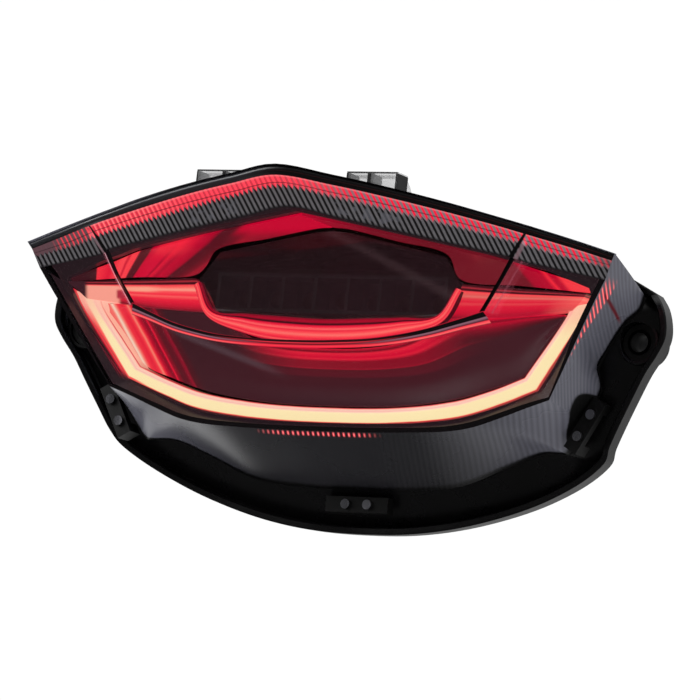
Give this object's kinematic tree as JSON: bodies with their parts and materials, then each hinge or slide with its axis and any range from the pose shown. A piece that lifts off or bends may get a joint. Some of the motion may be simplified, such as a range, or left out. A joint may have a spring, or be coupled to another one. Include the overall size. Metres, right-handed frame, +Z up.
{
  "type": "motorcycle tail light",
  "caption": "Smoked motorcycle tail light with a glowing U-shaped running light, a hexagonal brake light window, a fluted top band and a black tub with bolt ears.",
  "frame": {"origin": "midway between the centres of the two ear bolts, level with the front faces of the two steel collars", "axes": "+X across the light to the right as seen from behind the motorcycle, +Y into the motorcycle along the bolts, +Z up; the lens faces -Y"},
  "size_m": [0.197, 0.114, 0.0927],
  "materials": {
    "smoked_lens": "smoked red polycarbonate, polished",
    "clear_plastic": "clear plastic",
    "seal_rubber": "matt",
    "black_housing": "black, slightly glossy",
    "black_bezel": "satin black",
    "red_strip": "lit red",
    "running_guide": "lit, warm white with red edges",
    "brake_guide": "lit red",
    "red_reflector": "metallised red, glowing",
    "wing_reflector": "lit red to peach",
    "dark_reflector": "dark red, glossy",
    "dark_window": "dark smoked, polished",
    "cell_reflector": "metallised grey",
    "circuit_board": "green board",
    "emitter": "pale, unlit",
    "running_emitter": "lit, warm white",
    "board_parts": "dark grey",
    "bright_steel": "bright",
    "clip_plastic": "black",
    "grommet_rubber": "matt",
    "collar_steel": "black zinc",
    "socket_plastic": "black",
    "pin_brass": "plated"
  },
  "bodies": {
    "root": {"outer_lens": "smoked_lens", "lens_tabs": "clear_plastic", "lens_seal": "seal_rubber", "rear_housing": "black_housing", "inner_bezel": "black_bezel", "top_light_strip": "red_strip", "running_light_guide": "running_guide", "brake_light_guide": "brake_guide", "upper_reflector_left": "red_reflector", "upper_reflector_right": "red_reflector", "wing_reflector_left": "wing_reflector", "wing_reflector_right": "wing_reflector", "lower_reflector": "dark_reflector", "brake_window": "dark_window", "brake_reflector": "cell_reflector", "brake_led_board": "circuit_board", "brake_leds": "emitter", "side_led_board_left": "circuit_board", "side_led_board_right": "circuit_board", "bottom_led_board": "circuit_board", "running_leds": "running_emitter", "driver_board": "circuit_board", "driver_components": "board_parts", "board_screws": "bright_steel", "lens_clip_left": "clip_plastic", "lens_clip_right": "clip_plastic", "lens_clip_bottom": "clip_plastic", "clip_rivets": "bright_steel", "ear_grommets": "grommet_rubber", "ear_collars": "collar_steel", "connector_socket": "socket_plastic", "connector_pins": "pin_brass", "vent_cap": "socket_plastic"}
  },
  "joints": []
}
